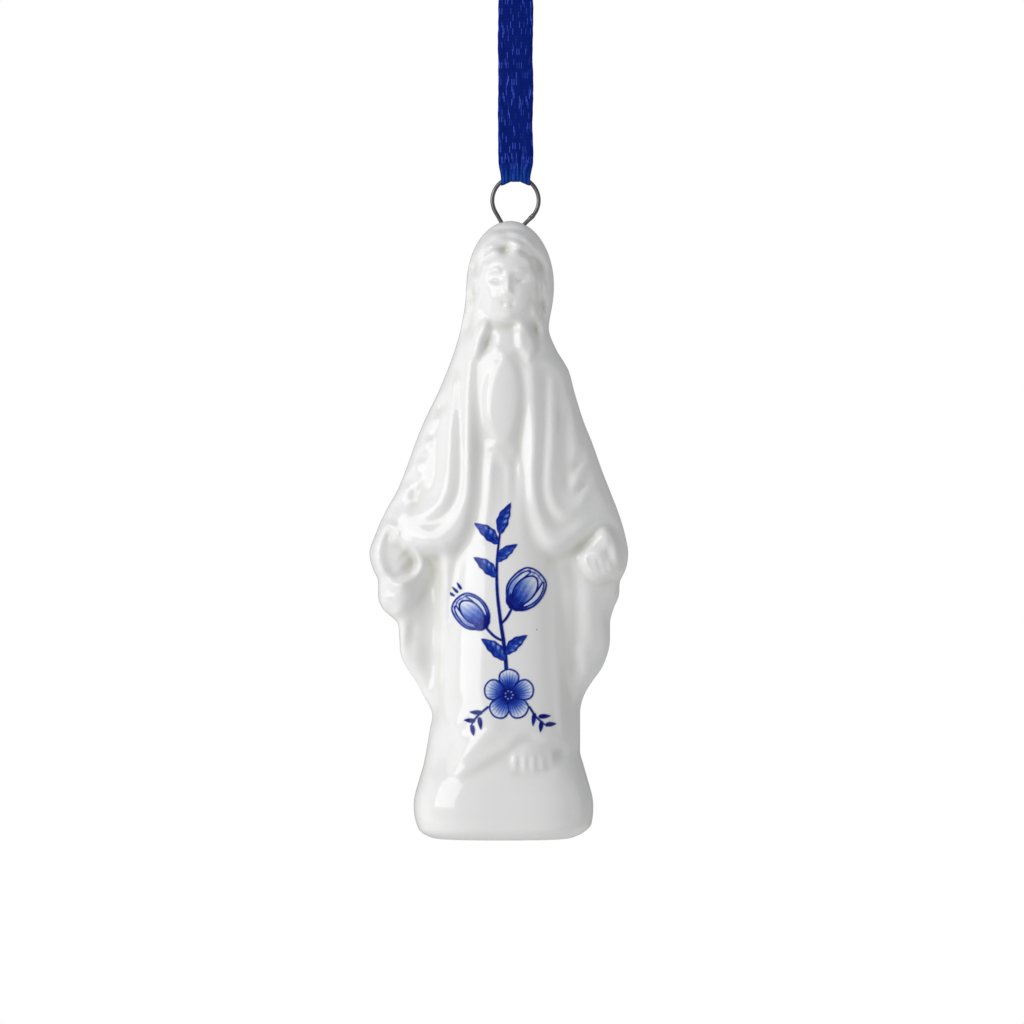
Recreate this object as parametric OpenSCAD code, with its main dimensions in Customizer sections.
// Hanging porcelain madonna: a hollow slip-cast figure, a bent wire ring through its crown, and a satin
// ribbon loop.
// Millimetres, +Z up, the figure faces -Y. The origin is in the eye of the ribbon loop, where a hook
// carries it.

/* [Figure] */
// Height of the porcelain figure
fig_h = 105; // [95:1:115]
// Thickness of the porcelain wall
wall = 2.2; // [1.8:0.1:2.6]
// Thickness of the crown where the wire goes through
crown_wall = 1.6; // [1.4:0.1:1.8]
// Diameter of the vent hole in the foot
vent_d = 4.5; // [3:0.5:6]
// How far the relief stands out of the body, as a share of its full height
relief = 1; // [0.5:0.1:1]

/* [Wire ring] */
// Diameter of the wire
wire_d = 0.7; // [0.6:0.05:0.8]
// Radius of the ring at the middle of the wire
ring_r = 3.95; // [3.9:0.05:4.1]
// Diameter of each hanger hole in the crown
hole_d = 1.7; // [1.6:0.05:1.8]
// Height of the ring's centre above the crown
ring_rise = 3.5; // [3.4:0.05:3.7]

/* [Ribbon] */
// Width of the ribbon
ribbon_w = 5.8; // [5:0.1:6.5]
// Width of the ribbon where it gathers in the ring
gather_w = 4.9; // [4.4:0.1:5.2]
// Thickness of the ribbon
ribbon_t = 0.3; // [0.2:0.05:0.35]
// Width of the eye between the two strands
eye_w = 5; // [4:0.5:7]
// Length of each tail of the knot
tail_l = 13; // [8:1:16]

/* [Hidden] */

// Places, measured from the centre of the figure's foot
hang_x = 1.8;
hang_z = 148;
ring_z = fig_h + ring_rise;
knot_z = hang_z + 7;

// Outline of the figure: height, left edge, right edge, front depth, back depth, squareness of the section
OUTLINE = [
    [0, -12.6, 11.6, 9.6, 9.0, 2.6],
    [0.8, -14.0, 13.2, 11.2, 10.4, 2.6],
    [2.8, -15.1, 14.8, 12.4, 11.5, 2.6],
    [6, -15.5, 15.0, 12.8, 11.8, 2.5],
    [10, -14.6, 14.1, 12.2, 11.2, 2.4],
    [14.5, -13.5, 12.7, 11.4, 10.0, 2.3],
    [18.5, -12.7, 12.8, 10.6, 9.2, 2.2],
    [21, -12.4, 12.8, 10.0, 8.8, 2.2],
    [26.5, -15.2, 15.0, 9.2, 8.8, 2.0],
    [31, -17.7, 17.4, 9.0, 9.0, 1.9],
    [36, -18.2, 17.8, 8.9, 9.2, 1.8],
    [40.5, -21.4, 19.2, 8.9, 9.4, 1.7],
    [44, -21.8, 19.8, 9.0, 9.5, 1.7],
    [48, -23.1, 21.1, 9.1, 9.6, 1.7],
    [52, -21.9, 20.4, 9.1, 9.6, 1.75],
    [59, -18.2, 17.8, 8.8, 9.4, 1.9],
    [66, -15.5, 15.1, 8.3, 9.0, 2.0],
    [73, -12.8, 12.6, 7.6, 8.3, 2.0],
    [79.5, -9.7, 10.7, 6.9, 7.6, 2.0],
    [84, -8.2, 8.4, 6.5, 7.1, 2.0],
    [88, -7.4, 7.5, 6.8, 7.0, 2.0],
    [93, -6.7, 8.2, 7.2, 7.0, 2.0],
    [97, -6.3, 8.1, 6.9, 6.7, 2.0],
    [101, -4.8, 7.1, 5.3, 5.3, 2.0],
    [103.4, -2.9, 5.2, 3.8, 3.8, 2.0],
    [104.6, -1.0, 3.2, 2.2, 2.2, 2.0],
    [105, 0.8, 1.4, 0.4, 0.4, 2.0],
];
row_h = 105;
outer_rings = 62;
front_sides = 38;
back_sides = 20;
inner_rings = 24;
inner_sides = 14;

// Smooth curve through one column of the outline
function row_under(h, i = 0) = i >= len(OUTLINE) - 2 || h < OUTLINE[i + 1][0] ? i : row_under(h, i + 1);
function run(a, b, k) = (OUTLINE[b][k] - OUTLINE[a][k]) / (OUTLINE[b][0] - OUTLINE[a][0]);
function slope(i, k) = run(max(i - 1, 0), min(i + 1, len(OUTLINE) - 1), k);
function curve(h, k) =
    let (i = row_under(h), d = OUTLINE[i + 1][0] - OUTLINE[i][0], t = (h - OUTLINE[i][0]) / d, s = 1 - t)
    OUTLINE[i][k] * s * s * (1 + 2 * t) + OUTLINE[i + 1][k] * t * t * (3 - 2 * t)
    + d * t * s * (slope(i, k) * s - slope(i + 1, k) * t);

function bell(x, mid, width) = exp(-pow((x - mid) / width, 2));
function fade(x, from, to) = let (t = min(1, max(0, (x - from) / (to - from)))) t * t * (3 - 2 * t);
function span(h, from, to, soft) = fade(h, from - soft, from + soft) * (1 - fade(h, to - soft, to + soft));
function spow(v, p) = sign(v) * pow(abs(v), p);

// Line of a cloak edge, from the shoulder past the waist and out to the wrist
function edge_x(h) = 5.2 + 1.6 * fade(80 - h, 0, 20) + 11 * pow(fade(60 - h, 0, 20), 2);

// Relief of the upper front: cloak edges with the sunk bodice and sash between them, sleeves, and both hands
function upper_relief(x, h) =
    1.5 * bell(abs(x), edge_x(h), 1.4) * span(h, 46, 82, 2.5)
    - 1.3 * (1 - fade(abs(x), edge_x(h) - 3, edge_x(h))) * span(h, 45, 82, 3)
    + 0.8 * bell(abs(x), edge_x(h) + 4, 1.5) * span(h, 50, 78, 4)
    + 0.9 * bell(h, 66.5, 1.1) * bell(x, 0, 4.5)
    + 0.9 * bell(x, 0, 3.2) * span(h, 68, 80, 3)
    + 3 * bell(x, -18.4, 2.4) * bell(h, 47.5, 4)
    + 3 * bell(x, 16.6, 2.4) * bell(h, 48, 4);

// Relief of the skirt and foot: two long creases, the drape over the foot, the toes, and the dip over
// the pillow
function lower_relief(x, h) =
    0.8 * bell(x, 8, 0.9) * span(h, 20, 42, 3)
    + 1.0 * bell(x, -9, 1.1) * span(h, 20, 48, 3)
    - 0.9 * bell(h, 18, 1.6)
    + 1.8 * bell(x + h, 11, 3) * span(h, 10, 18, 1.5)
    + 1.6 * bell(x, 4.4, 2.6) * bell(h, 13.2, 1.7);

// Relief of the head: a plain oval face set back between hair and veil, the chin's shade, and two locks
// below it
function head_relief(x, h) =
    1.0 * exp(-pow((x - 0.6) / 3.4, 4) - pow((h - 91.5) / 5.4, 4))
    - 0.9 * (bell(x, -4.4, 0.9) + bell(x, 5.6, 0.9)) * span(h, 86, 98, 2)
    - 1.3 * bell(x, 0.4, 2.4) * bell(h, 83.6, 1.6)
    + 1.2 * (bell(x, -3.6, 1.2) + bell(x, 3.9, 1.2)) * bell(h, 83, 2.6);

function front_relief(x, h) = upper_relief(x, h) + lower_relief(x, h) + head_relief(x, h);

// Relief on the back: upright folds of the cloak
function back_relief(x, h) = 0.6 * cos(x * 360 / 7.5) * span(h, 24, 78, 6) * bell(x, 0, 14);

// One point of the skin, pulled in by a wall thickness
function skin(h, turn, inset) =
    let (
        mid = (curve(h, 1) + curve(h, 2)) / 2,
        half = (curve(h, 2) - curve(h, 1)) / 2,
        front = sin(turn) < 0,
        p = 2 / curve(h, 5),
        x = mid + (half - inset) * spow(cos(turn), p),
        y = ((front ? curve(h, 3) : curve(h, 4)) - inset) * spow(sin(turn), p),
        raised = inset > 0 ? 0 : relief * abs(sin(turn)) * (front ? -front_relief(x, h) : back_relief(x, h))
    )
    [x, y + raised, h * fig_h / row_h];

// Stack of closed rings of points, made into a solid with flat ends
module stack(rings) {
    n = len(rings[0]);
    last = len(rings) - 1;
    points = [for (ring = rings) each ring];
    sides = [for (i = [0:last - 1], j = [0:n - 1])
        let (k = (j + 1) % n) [i * n + j, (i + 1) * n + j, (i + 1) * n + k, i * n + k]];
    polyhedron(
        points = points,
        faces = concat([[for (j = [0:n - 1]) j]], [[for (j = [n - 1:-1:0]) last * n + j]], sides),
        convexity = 6
    );
}

// Heights closer together towards both ends, where the skin turns over
function levels(low, high, n) = [for (i = [0:n])
    let (t = i / n) low + (high - low) * (0.6 * t + 0.4 * (1 - cos(180 * t)) / 2)];

// Directions round the body: the back first, then the front, which carries more relief
function around(back, front) =
    concat([for (j = [0:back - 1]) 180 * j / back], [for (j = [0:front - 1]) 180 + 180 * j / front]);

module casting() {
    turns = around(back_sides, front_sides);
    stack([for (h = levels(0, row_h, outer_rings)) [for (a = turns) skin(h, a, 0)]]);
}

// The hollow stops crown_wall under the crown, and its last dome_h narrows to a flat ceiling over the wire
dome_h = 6;
dome_x = 1.3;
module hollow() {
    top = row_h - crown_wall;
    start = row_h - dome_h;
    turns = around(inner_sides, inner_sides);
    stack([for (h = levels(wall, top, inner_rings)) [for (a = turns)
        let (narrow = h < start ? 1 : sqrt(1 - 0.8 * pow((h - start) / (top - start), 2)),
            q = skin(min(h, start + 1), a, wall))
        [dome_x + (q[0] - dome_x) * narrow, q[1] * narrow, h * fig_h / row_h]]]);
}

// The wire's centre line, measured from the ring's centre: an arc that opens downwards, two legs, and a run
// between two bends inside the crown
left_end = 210;
right_end = -45;
bend_r = 0.7;
run_gap = 0.3;
run_z = fig_h - crown_wall - wire_d / 2 - run_gap - ring_z;
function on_ring(turn) = ring_r * [cos(turn), sin(turn)];
left_top = on_ring(left_end);
right_top = on_ring(right_end);
left_dir = [cos(left_end + 90), sin(left_end + 90)];
right_dir = [-cos(right_end + 90), -sin(right_end + 90)];
function leg_length(top, dir) = (top[1] - run_z - bend_r * (1 - abs(dir[0]))) / -dir[1];
left_low = left_top + left_dir * leg_length(left_top, left_dir);
right_low = right_top + right_dir * leg_length(right_top, right_dir);
left_bend = [left_low[0] - bend_r * left_dir[1], run_z + bend_r];
right_bend = [right_low[0] + bend_r * right_dir[1], run_z + bend_r];

// A hanger hole follows its leg through the crown's wall and on into the hollow
module leg_hole(top, dir) {
    clear = 0.6;
    from = top + dir * clear;
    translate([from[0], 0, from[1]])
        rotate([0, atan2(dir[0], dir[1]), 0])
            cylinder(d = hole_d, h = leg_length(top, dir) - clear / 2, $fn = 48);
}

module in_frame() {
    translate([-hang_x, 0, -hang_z])
        children();
}

module in_ring() {
    translate([0, 0, ring_z - hang_z])
        children();
}

module porcelain_figure() {
    color("white")
        difference() {
            in_frame()
                casting();
            in_frame()
                hollow();
            in_frame()
                translate([0, 0, -1])
                    cylinder(d = vent_d, h = wall + 2, $fn = 48);
            in_ring() {
                leg_hole(left_top, left_dir);
                leg_hole(right_top, right_dir);
            }
        }
}

// The wire's two cut ends butt above the right-hand hole, and are slightly upset
end_gap = 0.06;
end_d = wire_d + 0.12;
end_l = 0.55;
wire_step = 0.45;
wire_sides = 12;

// Points of the wire as [place, heading]: along an arc, and along a straight stretch without its last point
function arc_points(mid, r, from, to) =
    let (n = ceil((to - from) * PI / 180 * r / wire_step) + 1)
    [for (i = [0:n]) let (a = from + (to - from) * i / n) [mid + r * [cos(a), sin(a)], a + 90]];
function leg_points(from, to, heading) =
    let (n = ceil(norm(to - from) / wire_step))
    [for (i = [1:n - 1]) [from + (to - from) * i / n, heading]];
wire_line = concat(
    arc_points([0, 0], ring_r, right_end + end_gap / ring_r * 180 / PI, left_end),
    leg_points(left_top, left_low, left_end + 90),
    arc_points(left_bend, bend_r, left_end, 270),
    arc_points(right_bend, bend_r, 270, 360 + right_end),
    leg_points(right_low, right_top, right_end + 90),
    [[right_top, right_end + 90]]
);
function from_end(i) = min(norm(wire_line[i][0] - wire_line[0][0]), norm(wire_line[i][0] - right_top));

// Ring of points round one place on the wire, wider near the cut ends
function wire_ring_at(i) =
    let (r = (from_end(i) < end_l ? end_d : wire_d) / 2, p = wire_line[i][0], a = wire_line[i][1])
    [for (j = [0:wire_sides - 1])
        let (t = 360 * j / wire_sides, out = r * sin(t))
        [p[0] - out * sin(a), r * cos(t), p[1] + out * cos(a)]];

module wire_ring() {
    color("dimgray")
        in_ring()
            stack([for (i = [0:len(wire_line) - 1]) wire_ring_at(i)]);
}

// The ribbon folds round the wire with a little air, and its strands start at the radius lip_r
air = 0.12;
fold_in = wire_d / 2 + air;
fold_out = fold_in + ribbon_t;
strand_y = fold_in + ribbon_t / 2;
lip_r = ring_r + 0.5;
fold_turn = asin(gather_w / 2 / ring_r);

module ribbon_bight() {
    color("mediumblue")
        in_ring()
            rotate([90, 0, 0])
                rotate([0, 0, 90 - fold_turn])
                    rotate_extrude(angle = 2 * fold_turn, $fn = 96)
                        difference() {
                            union() {
                                translate([ring_r, 0])
                                    circle(r = fold_out, $fn = 32);
                                translate([ring_r, -fold_out])
                                    square([lip_r - ring_r, 2 * fold_out]);
                            }
                            translate([ring_r, 0])
                                circle(r = fold_in, $fn = 32);
                            translate([ring_r, -fold_in])
                                square([2 * fold_out, 2 * fold_in]);
                        }
}

// Distance of a strand from the loop's middle: off the wire, then nearly closed, open round the eye, and
// closed at the knot
lump_h = 5;
lump_r = 3;
strand_top = knot_z - lump_h / 2;
eye_spread = 2.6;
function strand_off(z) =
    let (low = ring_z + ring_r, shut = ribbon_t / 2 + air)
    shut + (strand_y - shut) * (1 - fade(z, low + 2, low + 12)) + (eye_w / 2 - air) * bell(z, hang_z, eye_spread);

// A strip of ribbon seen from the side: points of its middle line, thickened by half a thickness each way
module strip(line) {
    n = len(line) - 1;
    ahead = [for (i = [0:n]) line[min(i + 1, n)] - line[max(i - 1, 0)]];
    side = [for (d = ahead) [-d[1], d[0]] / norm(d) * ribbon_t / 2];
    polygon(concat([for (i = [0:n]) line[i] + side[i]], [for (i = [n:-1:0]) line[i] - side[i]]));
}

module strand(way) {
    in_frame()
        intersection() {
            translate([hang_x - ribbon_w, 0, 0])
                rotate([90, 0, 90])
                    linear_extrude(2 * ribbon_w)
                        strip([for (z = [ring_z:1:strand_top + 1]) [way * strand_off(z), z]]);
            translate([hang_x, 2 * eye_w, ring_z])
                rotate([90, 0, 0])
                    linear_extrude(4 * eye_w)
                        difference() {
                            strand_outline();
                            circle(r = lip_r, $fn = 96);
                        }
        }
}

// Front view of a strand: narrow in the ring, full width above it, gathered again under the knot
module strand_outline() {
    top = strand_top - ring_z;
    half = [[0, gather_w], [lip_r + 0.4, gather_w], [lip_r + 2.5, ribbon_w], [top - 5, ribbon_w],
        [top, gather_w]];
    last = len(half) - 1;
    right = [for (p = half) [p[1] / 2, p[0]]];
    left = [for (i = [last:-1:0]) [-half[i][1] / 2, half[i][0]]];
    polygon(concat(right, left));
}

module ribbon_front() {
    color("mediumblue")
        strand(-1);
}

module ribbon_back() {
    color("mediumblue")
        strand(1);
}

// The knot: a squat lump with a wrap round it, and a drooping tail on each side
module ribbon_knot() {
    edge = 1;
    wrap_w = 2.4;
    color("mediumblue")
        in_frame()
            translate([hang_x, 0, knot_z]) {
                translate([0, 0, -lump_h / 2])
                    rotate_extrude($fn = 48)
                        polygon([[0, 0], [lump_r - edge, 0], [lump_r, edge], [lump_r, lump_h - edge],
                            [lump_r - edge, lump_h], [0, lump_h]]);
                rotate([0, 20, 0])
                    rotate_extrude($fn = 48)
                        translate([lump_r - ribbon_t, -wrap_w / 2])
                            square([2.5 * ribbon_t, wrap_w]);
                for (way = [-1, 1])
                    translate([0, ribbon_w / 2, 0])
                        rotate([90, 0, 0])
                            linear_extrude(ribbon_w)
                                strip([for (i = [0:12]) tail_point(i / 12, way)]);
            }
}

// A tail leaves the top of the knot beside the middle, turns over in an arc and hangs
tail_r = 2.6;
tail_turn = 150;
tail_root = [0.6, 1.8];
function tail_arc(turn) = tail_root + tail_r * [1 - cos(turn), sin(turn)];
function tail_place(s) =
    let (over = tail_turn * PI / 180 * tail_r)
    s < over ? tail_arc(s / tail_r * 180 / PI) : tail_arc(tail_turn) + (s - over) * [0.2, -0.95];
function tail_point(t, way) = let (p = tail_place(t * (tail_l + 2))) [way * p[0], p[1]];

porcelain_figure();
wire_ring();
ribbon_front();
ribbon_bight();
ribbon_back();
ribbon_knot();
